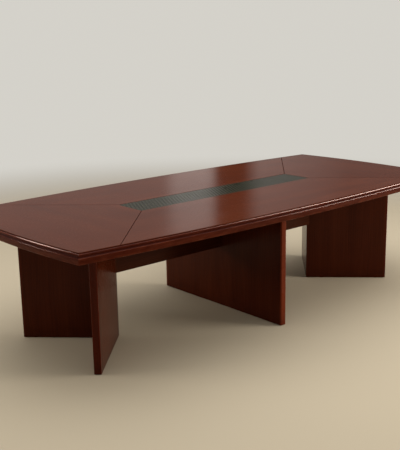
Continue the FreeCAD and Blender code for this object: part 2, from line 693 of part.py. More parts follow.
def angle_screw():
    """Round-headed wood screw, head below the origin and shank above it."""
    body = new_body("angle_screw", is_node=False)
    shank, head = "Sizes.screw_radius", "Sizes.screw_head_radius"
    crown, tip = minus("Sizes.screw_head_height"), "Sizes.screw_length"
    corners = [("0", crown), (f"{head} / 2", crown, head), (head, "0"), (shank, "0"),
               (shank, f"{tip} - 2 * {shank}"), ("0", tip)]
    turned(body, "angle_screw_section", corners)
    return body


def bracket_stations():
    """Corner of every angle on plan and the way its legs open."""
    stations = []
    for side, (apex, _, _) in PEDESTALS.items():
        for end in ("front", "back"):
            turn, inward = arm_turn(side, end)
            for distance in ("Sizes.bracket_inner", "Layout.bracket_outer"):
                x = f"{apex} + {distance} * cos({turn}) - {inward} * Sizes.support_thickness * sin({turn})"
                y = f"{distance} * sin({turn}) + {inward} * Sizes.support_thickness * cos({turn})"
                stations.append((side, x, y, turn + inward * 90))
    for distance in middle_bracket_places():
        stations.append(("middle", "Layout.half_support", distance, 0))
    return stations


def screw_spots(station):
    """Where an angle's two upright screws meet the underside of the core."""
    _, x, y, turn = station
    spots = []
    for sign in (-1, 1):
        aside = f"{sign} * Sizes.screw_spread / 2"
        spots.append((f"{x} + Sizes.screw_reach * cos({turn}) - {aside} * sin({turn})",
                      f"{y} + Sizes.screw_reach * sin({turn}) + {aside} * cos({turn})"))
    return spots


def angles_and_screws():
    stations = bracket_stations()
    bracket = steel_angle()
    for side in ("left", "middle", "right"):
        places = [(x, y, "Layout.underside", turn) for name, x, y, turn in stations if name == side]
        group(f"top_angles_{side}", bracket, places)
    lying = FreeCAD.Rotation(Vector(0, 1, 0), -90)
    upright_places = []
    lying_places = []
    for station in stations:
        _, x, y, turn = station
        for spot_x, spot_y in screw_spots(station):
            upright_places.append((spot_x, spot_y, "Layout.underside - Sizes.bracket_thickness", turn))
        for sign in (-1, 1):
            aside = f"{sign} * Sizes.screw_spread / 2"
            face_x = f"{x} + Sizes.bracket_thickness * cos({turn}) - {aside} * sin({turn})"
            face_y = f"{y} + Sizes.bracket_thickness * sin({turn}) + {aside} * cos({turn})"
            lying_places.append((face_x, face_y, "Layout.underside - Sizes.screw_reach", turn, lying))
    group("angle_screws", angle_screw(), upright_places + lying_places)


def rail_fixings():
    """Bolts through the glue blocks, studs through the middle panel, and their barrel nuts."""
    heights = ("Layout.bolt_low", "Layout.bolt_high")
    bolt = new_body("rail_bolt", is_node=False)
    shank, head = "Sizes.bolt_radius", "Sizes.bolt_head_radius"
    tip, seat = minus("Layout.bolt_reach"), "Layout.block_face"
    crown = f"{seat} + Sizes.bolt_head_height"
    corners = [("0", tip), (shank, tip), (shank, seat), (head, seat), (head, crown), ("0", crown)]
    turned(bolt, "rail_bolt_section", corners)
    stud = new_body("rail_stud", is_node=False)
    half = "(Layout.half_support + Layout.bolt_reach)"
    turned(stud, "rail_stud_section", [("0", minus(half)), (shank, minus(half)), (shank, half), ("0", half)])
    nut = barrel_nut()
    lying = FreeCAD.Rotation(Vector(0, 1, 0), 90)
    bolt_places = [(apex, "0", height, turn, lying)
                   for apex, turn, _ in PEDESTALS.values() for height in heights]
    group("rail_bolts", bolt, bolt_places)
    group("rail_studs", stud, [("0", "0", height, 0, lying) for height in heights])
    distances = ("Layout.half_support + Sizes.nut_distance", "Layout.apex_distance - Sizes.nut_distance")
    nut_places = [(f"{sign} * ({distance})", "0", height)
                  for sign in (-1, 1) for distance in distances for height in heights]
    group("rail_barrel_nuts", nut, nut_places)


def barrel_nut():
    """Short cross bar of steel with a hole for the bolt through its middle."""
    body = new_body("barrel_nut", is_node=False)
    section = circles(new_sketch(body, "barrel_nut_round", "XZ_Plane"), [("0", "0")], "Sizes.nut_radius")
    pad(body, section, "Sizes.nut_length", both_ways=True)
    bore = circles(new_sketch(body, "barrel_nut_bore", "YZ_Plane"), [("0", "0")], "Sizes.bolt_radius")
    pocket(body, bore, "2 * Sizes.nut_radius + Sizes.cut_overrun", both_ways=True)
    return body


def glide_stations():
    """Name and plan position of every levelling glide."""
    stations = []
    for side, (apex, _, _) in PEDESTALS.items():
        for end in ("front", "back"):
            turn, inward = arm_turn(side, end)
            for name, (along, aside) in zip(("inner", "outer"), glide_spots_on_arm(inward)):
                x = f"{apex} + ({along}) * cos({turn}) - {aside} * sin({turn})"
                y = f"({along}) * sin({turn}) + {aside} * cos({turn})"
                stations.append((f"{side}_{end}_{name}", x, y))
    for name, (x, y) in zip(("middle_front", "middle_back"), middle_glide_spots()):
        stations.append((name, x, y))
    return stations


def levelling_glides():
    """Feet that screw up and down in steel inserts to level the table."""
    insert = new_body("glide_insert", is_node=False)
    bore, outer, length = "Layout.stem_bore", "Sizes.insert_radius", "Sizes.insert_length"
    turned(insert, "glide_insert_section", [(bore, "0"), (outer, "0"), (outer, length), (bore, length)])
    stations = glide_stations()
    group("glide_inserts", insert, [(x, y, "Layout.panel_bottom") for _, x, y in stations])
    foot, stem, bevel = "Sizes.glide_foot_radius", "Sizes.glide_stem_radius", "Sizes.glide_foot_bevel"
    height = "Sizes.glide_foot_height"
    stem_top = f"{height} + Sizes.glide_stem_length"
    corners = [("0", "0"), (f"{foot} - {bevel}", "0"), (foot, bevel), (foot, height), (stem, height),
               (stem, stem_top), ("0", stem_top)]
    for name, x, y in stations:
        glide = new_body("levelling_glide_" + name)
        turned(glide, f"glide_{name}_section", corners)
        place(glide, x, y)


def check_and_write():
    """Refuse a broken model, then write one file for each node."""
    doc.recompute()
    for thing in doc.Objects:
        if "Invalid" in thing.State or "Error" in thing.State:
            raise RuntimeError(f"{thing.Name} is {thing.State}")
    for node in nodes:
        if node.Shape.isNull() or not node.Shape.isValid() or not node.Shape.Solids:
            raise RuntimeError(f"{node.Label} has no sound shape")
    os.makedirs("parts", exist_ok=True)
    for node in nodes:
        node.Shape.exportStep(f"parts/{node.Label}.step")
        print(f"{node.Label}: {len(node.Shape.Solids)} solids, {node.Shape.Volume:.0f} cubic mm")


core_board()
facings()
woven_inlay()
for side in STRETCHES:
    edge_moulding(side)
    rim_backing(side)
for side in PEDESTALS:
    for end in ("front", "back"):
        arm_panel(side, end)
        arm_lipping(side, end)
    corner_block(side)
middle_panel()
middle_lipping("front", -1)
middle_lipping("back", 1)
rail("left", FACING_LEFT_ANGLE, -1)
rail("right", FACING_RIGHT_ANGLE, 1)
angles_and_screws()
rail_fixings()
levelling_glides()
check_and_write()
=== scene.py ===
import json
from math import cos, pi, radians, sin, sqrt
from random import Random

import bmesh
import bpy
from mathutils import Matrix, Vector

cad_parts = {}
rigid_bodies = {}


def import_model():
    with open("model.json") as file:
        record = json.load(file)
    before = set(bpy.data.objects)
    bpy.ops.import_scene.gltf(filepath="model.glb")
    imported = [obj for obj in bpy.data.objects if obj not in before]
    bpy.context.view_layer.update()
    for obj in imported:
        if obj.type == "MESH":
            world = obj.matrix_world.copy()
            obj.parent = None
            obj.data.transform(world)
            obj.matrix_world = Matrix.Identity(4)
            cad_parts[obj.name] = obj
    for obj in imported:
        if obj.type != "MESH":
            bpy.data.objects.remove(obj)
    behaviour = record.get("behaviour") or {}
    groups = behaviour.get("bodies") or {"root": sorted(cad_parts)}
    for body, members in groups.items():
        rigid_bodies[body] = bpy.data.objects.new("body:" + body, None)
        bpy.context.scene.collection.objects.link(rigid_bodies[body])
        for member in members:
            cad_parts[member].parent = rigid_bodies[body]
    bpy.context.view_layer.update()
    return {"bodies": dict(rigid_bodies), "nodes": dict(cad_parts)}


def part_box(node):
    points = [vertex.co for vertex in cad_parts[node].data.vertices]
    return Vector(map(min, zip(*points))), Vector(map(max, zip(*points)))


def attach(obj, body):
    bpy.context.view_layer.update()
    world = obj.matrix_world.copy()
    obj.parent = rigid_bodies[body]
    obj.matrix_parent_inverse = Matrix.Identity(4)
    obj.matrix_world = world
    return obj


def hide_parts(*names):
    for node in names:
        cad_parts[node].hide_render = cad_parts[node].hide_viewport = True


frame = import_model()

# Sizes in metres, heights above the floor.
FLAT_TOP = 0.750

# The bows of the rim: the radius, how far the crown lies from the table's middle, half
# the angle of the bow, the direction of its mitres, and how much longer it is made
# before the mitres are cut.
SIDE_BOW = (16.344695, 0.676, radians(5.0720), radians(43.703), 0.088)
END_BOW = (4.588110, 1.486, radians(7.6654), radians(46.297), 0.160)
RIM_SIDES = (
    ("front", -pi / 2, SIDE_BOW),
    ("back", pi / 2, SIDE_BOW),
    ("left", pi, END_BOW),
    ("right", 0.0, END_BOW),
)
BOW_STEPS = 96
MITRE_EASE = 0.0003

# The rim's section, as how far out from the flat and how high. Its tongue lies behind
# the flat. Each arc has its centre, its radius, where it starts and how far it turns
# in degrees, and its steps.
TONGUE = -0.022
RIM_FOOT, RIM_HEAD = 0.692, 0.747
LOWER_EDGE = ((0.011, 0.695), 0.003, -90, 90, 5)
UPPER_EDGE = ((0.0114, 0.7209), 0.0026, 0, 90, 6)
HOLLOW = ((0.01894, 0.73329), 0.012, 231.1, -45.4, 9)
SMALL_STEP = ((0.0092, 0.7348), 0.0003, -90, 90, 2)
BIG_ROUND = ((0.0015, 0.736), 0.008, 0, 86, 12)
ROUND_HEAD = 0.744
# Where hands and cloths rub the rim: how far out, how high, and how wide the wear.
WORN_EDGES = (
    (0.014, 0.6935, 0.0022),
    (0.0132, 0.7227, 0.0022),
    (0.0095, 0.7345, 0.0015),
    (0.0068, 0.7425, 0.0030),
)

# The mitred joints of the veneer: where their lines cross the table's long middle line,
# half their width, and how deep they are sunk.
JOINT_OFFSET = 0.5925
JOINT_HALF_WIDTH = 0.0026
GROOVE_DEPTH = 0.0016

# The woven inlay: the width of the strips laid across and of those laid along, into
# how many parts each is cut, how deep the weave is, and the heights between which
# the weave's low parts get painted shade.
STRIP_WIDTH, CROSS_STRIP_WIDTH = 0.01174, 0.0224
STRIP_PARTS = 6
STRIP_RELIEF = 0.0005
GAP_SHADE_TOP, GAP_SHADE_BOTTOM = FLAT_TOP - 0.00075, FLAT_TOP - 0.00098
# How much of a crown's height comes from the place across and along the strip.
ACROSS_SHARE, ALONG_SHARE = 0.45, 0.55
STRIP_TONE_SPREAD, STRIP_TONE_SEED = 0.05, 11

# The supports. Each arm has its side and end, the side's sign, the direction it runs
# from its pedestal's apex, and the side on which its panel lies of that line.
ARMS = (
    ("left", "front", -1, 225, -1),
    ("left", "back", -1, 135, 1),
    ("right", "front", 1, -45, 1),
    ("right", "back", 1, 45, -1),
)
ARM_APEX = 0.816
ARM_BODY = 0.544
MIDDLE_BODY_HALF = 0.533
PANEL_THICKNESS = 0.040
LIPPING_DEPTH = 0.012
LIPPING_RADIUS = 0.005
LIPPING_EASE = 0.0006
LIPPING_FOOT, LIPPING_HEAD = 0.004, 0.717

# The levelling glides.
FOOT_RADIUS, FOOT_HEIGHT = 0.015, 0.004
FOOT_EASE, FOOT_EASE_END = 0.001, 0.0003
STEM_RADIUS, STEM_HEAD = 0.004, 0.032
THREAD_PITCH, THREAD_DEPTH = 0.00125, 0.0007
PLAIN_TIP, TIP_TAPER = 0.001, 0.0004

# How small a distance counts as none: between two spots, beside a mitre's cut, while
# the cut is made, and between doubles.
TOUCH, ON_CUT, CUTTING, DOUBLES = 0.0001, 0.00002, 0.000001, 0.000005


# ---------------------------------------------------------------- shaping


def deselect_all():
    for thing in bpy.context.selected_objects:
        thing.select_set(False)


def begin_piece(name, size=(1.0, 1.0, 1.0)):
    """The primitive just added becomes a named piece at its size, open in edit mode."""
    piece = bpy.context.object
    piece.name = name
    piece.data.name = name
    piece.scale = size
    bpy.ops.object.transform_apply(location=True, rotation=True, scale=True)
    bpy.ops.object.mode_set(mode="EDIT")
    bpy.ops.mesh.select_mode(type="FACE")
    return piece


def select_edges(piece, wanted):
    """Picks the edges whose two ends satisfy the test."""
    bpy.ops.mesh.select_mode(type="EDGE")
    bpy.ops.mesh.select_all(action="DESELECT")
    shape = bmesh.from_edit_mesh(piece.data)
    for edge in shape.edges:
        first, second = (corner.co for corner in edge.verts)
        edge.select = wanted(first, second)
    shape.select_flush_mode()
    bmesh.update_edit_mesh(piece.data)


def close_piece(piece, sharp_from):
    """Merges doubles, turns the faces outward, and smooths all but the real edges."""
    bpy.ops.mesh.select_all(action="SELECT")
    bpy.ops.mesh.remove_doubles(threshold=DOUBLES)
    bpy.ops.mesh.normals_make_consistent(inside=False)
    bpy.ops.object.mode_set(mode="OBJECT")
    bpy.ops.object.shade_smooth_by_angle(angle=radians(sharp_from))
    piece.select_set(False)
    return piece


def hang_piece(piece, body, finish, slot, *nodes):
    """Gives a piece its finish and its place in the table's frame."""
    piece.data.materials.clear()
    piece.data.materials.append(finish)
    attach(piece, body)
    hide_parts(*nodes)
    return piece


# ---------------------------------------------------------------- finishes


def add_node(tree, kind, inputs=None, **options):
    """Adds a node and feeds its sockets with numbers, colours or other sockets."""
    node = tree.nodes.new("ShaderNode" + kind)
    for option, value in options.items():
        setattr(node, option, value)
    for socket, value in (inputs or {}).items():
        if isinstance(value, bpy.types.NodeSocket):
            tree.links.new(value, node.inputs[socket])
        else:
            node.inputs[socket].default_value = value
    return node


def new_finish(name):
    """A material with nothing in it but a shader and its output."""
    finish = bpy.data.materials.new(name)
    finish.use_nodes = True
    tree = finish.node_tree
    tree.nodes.clear()
    output = tree.nodes.new("ShaderNodeOutputMaterial")
    shader = tree.nodes.new("ShaderNodeBsdfPrincipled")
    tree.links.new(shader.outputs["BSDF"], output.inputs["Surface"])
    return finish, tree, shader


def on_object(tree):
    """The place on the piece, in the table's own axes."""
    return add_node(tree, "TexCoord").outputs["Object"]


def kept(tree, name, output="Fac"):
    """A value kept on the mesh."""
    return add_node(tree, "Attribute", attribute_name=name).outputs[output]


def one_axis(tree, place, axis):
    return add_node(tree, "SeparateXYZ", {0: place}).outputs[axis]


def maths(tree, operation, first, second=0.0, clamp=False):
    sums = add_node(tree, "Math", {0: first, 1: second}, operation=operation, use_clamp=clamp)
    return sums.outputs[0]


def plus(tree, first, second, clamp=False):
    return maths(tree, "ADD", first, second, clamp)


def minus(tree, first, second):
    return maths(tree, "SUBTRACT", first, second)


def times(tree, first, second):
    return maths(tree, "MULTIPLY", first, second)


def size_of(tree, value):
    return maths(tree, "ABSOLUTE", value)


def noise(tree, place, stretch, detail=2.0, roughness=0.5, offset=(0, 0, 0)):
    """Soft random tones, stretched along the grain."""
    placed = add_node(tree, "Mapping", {"Vector": place, "Scale": stretch, "Location": offset})
    inputs = {"Vector": placed.outputs[0], "Scale": 1.0, "Detail": detail, "Roughness": roughness}
    return add_node(tree, "TexNoise", inputs).outputs["Fac"]


def between(tree, value, low, high, to_low=0.0, to_high=1.0):
    """Turns a range of a value into another range, and holds it there."""
    ends = {"From Min": low, "From Max": high, "To Min": to_low, "To Max": to_high}
    made = add_node(tree, "MapRange", {"Value": value, **ends}, interpolation_type="SMOOTHSTEP")
    return made.outputs["Result"]


def tones(tree, value, stops):
    """A run of colours, from dark to light."""
    ramp = add_node(tree, "ValToRGB", {"Fac": value})
    marks = ramp.color_ramp.elements
    while len(marks) < len(stops):
        marks.new(0.5)
    for mark, (place, colour) in zip(marks, stops):
        mark.position = place
        mark.color = (*colour, 1.0)
    return ramp.outputs["Color"]


def shaded(tree, colour, amount, towards, blend="MULTIPLY"):
    """Mixes a colour towards another by a mask."""
    inputs = {0: amount, 6: colour, 7: (*towards, 1.0)}
    mixed = add_node(tree, "Mix", inputs, data_type="RGBA", blend_type=blend)
    return mixed.outputs[2]


def dress(tree, shader, colour, rough, height, strength, distance):
    """Feeds a shader its colour, its roughness and its fine relief."""
    tree.links.new(colour, shader.inputs["Base Color"])
    tree.links.new(rough, shader.inputs["Roughness"])
    bump = add_node(tree, "Bump", {"Height": height, "Strength": strength, "Distance": distance})
    tree.links.new(bump.outputs["Normal"], shader.inputs["Normal"])
    return bump.outputs["Normal"]


GRAIN_TURN = {"x": (0, 0, 0), "y": (0, 0, -pi / 2), "z": (0, pi / 2, 0)}
# The wood's patterns, as waves in a metre: along the grain, and twice across it.
SWAY = (1.1, 3.0, 3.0)
RIBBONS = (0.7, 9.0, 9.0)
STREAKS = (2.6, 120.0, 120.0)
LINES = (9.0, 620.0, 620.0)
PORES = (45.0, 1250.0, 1250.0)
RING_WAVER = (1.5, 20.0, 20.0)
STAIN = (1.6, 2.6, 2.6)
RUBBING = (5.0, 7.0, 7.0)
RING_STRETCH = (0.055, 1.0, 1.0)
RINGS_IN_A_METRE = 80.0
SWAY_REACH, WAVER_REACH = 0.05, 0.02
# How much each pattern counts in the tone.
RIBBON_SHARE, STREAK_SHARE, LINE_SHARE, RING_SHARE = 0.9, 0.8, 0.3, 0.16
STAIN_TINT = (0.72, 0.66, 0.62)
# How much rougher the lacquer is where it is least and most rubbed.
LEAST_RUBBED, MOST_RUBBED = -0.015, 0.03


def grain_place(tree, grain):
    """The place on the piece, turned so that the grain runs along the first axis."""
    if grain == "run":
        return kept(tree, "run", "Vector")
    turn = {"Vector": on_object(tree), "Rotation": GRAIN_TURN[grain]}
    return add_node(tree, "Mapping", turn).outputs["Vector"]


def growth_rings(tree, place, heart):
    """Rings cut at a low angle make long nested arches round the heart."""
    centred = add_node(tree, "Mapping", {"Vector": place, "Location": heart, "Scale": RING_STRETCH})
    measured = add_node(tree, "VectorMath", {0: centred.outputs[0]}, operation="LENGTH")
    wavering = times(tree, noise(tree, place, RING_WAVER), WAVER_REACH)
    radius = plus(tree, measured.outputs["Value"], wavering)
    ring = maths(tree, "FRACT", times(tree, radius, RINGS_IN_A_METRE))
    return times(tree, ring, between(tree, ring, 1.0, 0.86))


def wood(name, grain, tints, heart, rubbed, shine, figure, masks=None, dull=None, groove=None):
    """Stained and lacquered mahogany. The grain runs along one axis, or along the
    piece's own run. A lacquer that is rubbed down more is duller. The figure is how
    strongly the grain shows. Masks shade the colour, and a dull mask and a groove
    change the roughness and the relief."""
    finish, tree, shader = new_finish(name)
    place = grain_place(tree, grain)
    # The grain wanders a little from a straight line.
    sway = times(tree, minus(tree, noise(tree, place, SWAY, 1.5), 0.5), SWAY_REACH)
    shift = add_node(tree, "CombineXYZ", {"Y": sway, "Z": sway}).outputs[0]
    placed = add_node(tree, "VectorMath", {0: place, 1: shift}, operation="ADD").outputs[0]
    ribbons = noise(tree, placed, RIBBONS)
    streaks = noise(tree, placed, STREAKS, 3.0, 0.6)
    lines = noise(tree, placed, LINES, 2.0, 0.55)
    ring = growth_rings(tree, placed, heart)
    tone = times(tree, minus(tree, ribbons, 0.5), RIBBON_SHARE * figure)
    for part, share in ((streaks, STREAK_SHARE), (lines, LINE_SHARE), (ring, RING_SHARE)):
        tone = plus(tree, tone, times(tree, minus(tree, part, 0.5), share * figure))
    tone = plus(tree, tone, 0.5, clamp=True)
    dark, middle, light = tints
    colour = tones(tree, tone, ((0.12, dark), (0.5, middle), (0.9, light)))
    # Open pores hold the dark filler as short dashes.
    pores = between(tree, noise(tree, placed, PORES, 1.0), 0.62, 0.70)
    filler = (dark[0] * 0.35, dark[1] * 0.3, dark[2] * 0.3)
    colour = shaded(tree, colour, times(tree, pores, 0.7), filler, "MIX")
    # The stain is broad and uneven.
    stain = noise(tree, place, STAIN, 3.0, 0.55, (7.0, 3.0, 1.0))
    colour = shaded(tree, colour, between(tree, stain, 0.35, 0.7, 0.0, 0.45), STAIN_TINT)
    for mask, towards, blend in masks(tree) if masks else ():
        colour = shaded(tree, colour, mask, towards, blend)
    rub = noise(tree, place, RUBBING, 4.0, 0.6, (2.0, 9.0, 4.0))
    rough = between(tree, rub, 0.3, 0.75, rubbed + LEAST_RUBBED, rubbed + MOST_RUBBED)
    rough = plus(tree, rough, times(tree, pores, 0.15))
    if dull:
        rough = plus(tree, rough, dull(tree))
    relief = minus(tree, times(tree, lines, 0.25), pores)
    fine = dress(tree, shader, colour, rough, relief, strength=0.25, distance=0.00012)
    if groove:
        inputs = {"Height": groove(tree), "Normal": fine, "Distance": GROOVE_DEPTH}
        sunk = add_node(tree, "Bump", {**inputs, "Strength": 1.0, "Filter Width": 0.03})
        tree.links.new(sunk.outputs["Normal"], shader.inputs["Normal"])
    shader.inputs["Specular IOR Level"].default_value = shine
    return finish


def beside_joint(tree):
    """How far a spot lies from the mitred joints that run out from the inlay's corners."""
    place = on_object(tree)
    along, across = (size_of(tree, one_axis(tree, place, axis)) for axis in "XY")
    aside = minus(tree, minus(tree, along, across), JOINT_OFFSET)
    return times(tree, size_of(tree, aside), sqrt(0.5))


def in_joint(tree):
    """One in the joints, and zero beside them."""
    return between(tree, beside_joint(tree), JOINT_HALF_WIDTH, JOINT_HALF_WIDTH - 0.0003)


def joint_filler(tree):
    """The dark filler of the joints."""
    return ((in_joint(tree), (0.36, 0.25, 0.20), "MULTIPLY"),)


def matt_joint(tree):
    """The filler of the joints has no gloss."""
    return times(tree, in_joint(tree), 0.6)


def joint_groove(tree):
    """The joints are sunk to a point: zero on the veneer and minus one at the bottom."""
    share = maths(tree, "DIVIDE", beside_joint(tree), JOINT_HALF_WIDTH)
    return minus(tree, maths(tree, "MINIMUM", share, 1.0), 1.0)


def floor_scuffs(tree):
    """Panels darken and grey a little where feet and mops reach them."""
    place = on_object(tree)
    low = between(tree, one_axis(tree, place, "Z"), 0.11, 0.0)
    patches = noise(tree, place, (9.0, 9.0, 30.0), 4.0, 0.65)
    mask = times(tree, low, between(tree, patches, 0.35, 0.7, 0.15, 0.6))
    return ((mask, (0.5, 0.45, 0.42), "MULTIPLY"),)


def in_hollow(tree):
    """One in the moulding's hollow: it masks the duller lacquer, where cloths don't reach, and the
    painted shade there.
    """
    height = one_axis(tree, kept(tree, "run", "Vector"), "Z")
    above = between(tree, height, 0.7236, 0.7250)
    return times(tree, above, between(tree, height, 0.7352, 0.7340))


def matt_hollow(tree):
    """The lacquer in the hollow is a little duller."""
    return times(tree, in_hollow(tree), 0.08)


def hollow_shade_and_rim_wear(tree):
    """Painted shade in the hollow, and rounds rubbed lighter at their crowns."""
    place = kept(tree, "run", "Vector")
    patches = noise(tree, place, (14.0, 60.0, 60.0), 3.0, 0.6, (1.0, 5.0, 2.0))
    rubbed = times(tree, kept(tree, "worn"), between(tree, patches, 0.35, 0.7, 0.1, 0.7))
    return (
        # Painted shade: the hollow is darkened towards a dull brown.
        (times(tree, in_hollow(tree), 0.35), (0.5, 0.35, 0.3), "MULTIPLY"),
        (rubbed, (0.20, 0.050, 0.022), "MIX"),
    )


# Dark, middle and light tints of each stained wood.
TOP_TINTS = ((0.052, 0.0095, 0.0031), (0.086, 0.0178, 0.0058), (0.126, 0.0290, 0.0094))
RIM_TINTS = ((0.020, 0.0021, 0.0005), (0.041, 0.0047, 0.0011), (0.070, 0.0094, 0.0024))
ARM_EDGE_TINTS = ((0.034, 0.0036, 0.0008), (0.070, 0.0086, 0.0020), (0.108, 0.0160, 0.0040))
# The middle panel's edges: a lighter copy of the arms' edge wood, painted light for the light that
# falls on them from the front.
MIDDLE_EDGE_LIT_TINTS = ((0.060, 0.0080, 0.0022), (0.122, 0.0180, 0.0048), (0.180, 0.0310, 0.0090))
RAIL_TINTS = ((0.018, 0.0034, 0.0011), (0.036, 0.0074, 0.0023), (0.060, 0.0130, 0.0042))
PANEL_TINTS = ((0.026, 0.0044, 0.0014), (0.055, 0.0100, 0.0032), (0.088, 0.0180, 0.0062))

# How far each lacquer is rubbed down, how it shines, how strongly the grain shows, and
# what marks the wood or paints shade on it.
TOP_LACQUER = {
    "rubbed": 0.15,
    "shine": 0.045,
    "figure": 0.55,
    "masks": joint_filler,
    "dull": matt_joint,
    "groove": joint_groove,
}
RIM_LACQUER = {
    "rubbed": 0.11,
    "shine": 0.045,
    "figure": 0.6,
    "masks": hollow_shade_and_rim_wear,
    "dull": matt_hollow,
}
EDGE_LACQUER = {"rubbed": 0.28, "shine": 0.08, "figure": 0.6, "masks": floor_scuffs}
RAIL_LACQUER = {"rubbed": 0.22, "shine": 0.06, "figure": 0.6}
PANEL_LACQUER = {**RAIL_LACQUER, "masks": floor_scuffs}

# Each field is its own veneer leaf: the grain's axis, and where its heart lies.
FIELDS = {
    "front": ("x", (0.35, 0.44, 0.03)),
    "back": ("x", (-0.25, -0.40, 0.03)),
    "left": ("y", (0.10, 1.10, 0.03)),
    "right": ("y", (-0.12, -1.12, 0.03)),
}


def make_field_finish(side):
    """The veneer of one field of the top."""
    grain, heart = FIELDS[side]
    return wood(f"mahogany_field_{side}", grain, TOP_TINTS, heart, **TOP_LACQUER)


def make_board():
    """Pressed wood chips, under the veneer."""
    finish, tree, shader = new_finish("pressed_chip_board")
    place = on_object(tree)
    chips = add_node(tree, "TexVoronoi", {"Vector": place, "Scale": 260.0, "Randomness": 1.0})
    shades = noise(tree, place, (500.0, 500.0, 900.0), 3.0, 0.6)
    tone = plus(tree, times(tree, chips.outputs["Distance"], 0.5), shades, clamp=True)
    stops = ((0.2, (0.16, 0.095, 0.05)), (0.55, (0.34, 0.23, 0.13)), (0.95, (0.52, 0.39, 0.25)))
    rough = between(tree, shades, 0.2, 0.8, 0.7, 0.95)
    dress(tree, shader, tones(tree, tone, stops), rough, tone, strength=0.5, distance=0.0004)
    return finish


def make_steel():
    """Zinc-plated steel with its faint crystals and a few rubbed spots."""
    finish, tree, shader = new_finish("zinc_plated_steel")
    place = on_object(tree)
    crystals = add_node(tree, "TexVoronoi", {"Vector": place, "Scale": 420.0})
    clouds = noise(tree, place, (120.0, 120.0, 120.0), 4.0, 0.6)
    tone = plus(tree, times(tree, crystals.outputs["Distance"], 0.25), clouds, clamp=True)
    stops = ((0.3, (0.30, 0.31, 0.33)), (0.6, (0.47, 0.48, 0.50)), (0.85, (0.60, 0.60, 0.61)))
    rough = between(tree, clouds, 0.3, 0.75, 0.28, 0.5)
    dress(tree, shader, tones(tree, tone, stops), rough, clouds, strength=0.15, distance=0.0001)
    shader.inputs["Metallic"].default_value = 1.0
    return finish


def make_nylon():
    """Black moulded nylon with a fine spark-eroded grain."""
    finish, tree, shader = new_finish("black_nylon")
    place = on_object(tree)
    grain = noise(tree, place, (1400.0, 1400.0, 1400.0), 2.0)
    dust = noise(tree, place, (60.0, 60.0, 200.0), 4.0, 0.65)
    stops = ((0.35, (0.010, 0.010, 0.011)), (0.7, (0.035, 0.034, 0.033)))
    rough = between(tree, dust, 0.3, 0.7, 0.42, 0.62)
    dress(tree, shader, tones(tree, dust, stops), rough, grain, strength=0.3, distance=0.0001)
    return finish


WEAVE_TINTS = (
    (0.08, (0.0010, 0.0012, 0.0007)),
    (0.45, (0.028, 0.027, 0.016)),
    (0.95, (0.066, 0.065, 0.039)),
)
ACROSS_DARKER, ACROSS_DULLER = -0.22, 0.14


def make_weave():
    """Dark grey-green strips. Each strip's tone and direction are kept on its faces.
    The strips laid across are darker and duller than the ones laid along, and the
    lowest parts of the weave get painted shade."""
    finish, tree, shader = new_finish("woven_strips")
    place = on_object(tree)
    across = kept(tree, "strip_across")
    along_x = noise(tree, place, (240.0, 2600.0, 2600.0), 2.0)
    along_y = noise(tree, place, (2600.0, 240.0, 2600.0), 2.0)
    mixed = add_node(tree, "Mix", {0: across, 2: along_x, 3: along_y}, data_type="FLOAT")
    fibres = mixed.outputs[0]
    tone = times(tree, minus(tree, fibres, 0.5), 0.5)
    tone = plus(tree, tone, kept(tree, "strip_tone"))
    tone = plus(tree, tone, times(tree, across, ACROSS_DARKER), clamp=True)
    colour = tones(tree, tone, WEAVE_TINTS)
    # Painted shade: the lowest parts of the weave, where the strips dip between each other, are
    # darkened.
    gap_shade = between(tree, one_axis(tree, place, "Z"), GAP_SHADE_TOP, GAP_SHADE_BOTTOM)
    colour = shaded(tree, colour, times(tree, gap_shade, 0.8), (0.16, 0.15, 0.14))
    clouds = noise(tree, place, (8.0, 8.0, 8.0), 3.0, 0.6)
    rough = between(tree, clouds, 0.3, 0.7, 0.13, 0.17)
    rough = plus(tree, rough, times(tree, across, ACROSS_DULLER))
    dress(tree, shader, colour, rough, fibres, strength=0.2, distance=0.0001)
    shader.inputs["Specular IOR Level"].default_value = 0.05
    return finish


# ---------------------------------------------------------------- the rim


def arc_points(centre, radius, start, turn, steps):
    """The points of an arc of the moulding's section."""
    angles = [radians(start + turn * step / steps) for step in range(steps + 1)]
    return [(centre[0] + radius * cos(spot), centre[1] + radius * sin(spot)) for spot in angles]


def moulding_section():
    """The section, from its lower inner corner outward and up: a lower face with eased
    edges, a hollow, a small step and the big round under the flat."""
    points = [(TONGUE, RIM_FOOT)]
    for arc in (LOWER_EDGE, UPPER_EDGE, HOLLOW, SMALL_STEP, BIG_ROUND):
        points += arc_points(*arc)
    return points + [(0.0, ROUND_HEAD), (0.0, RIM_HEAD), (TONGUE, RIM_HEAD)]


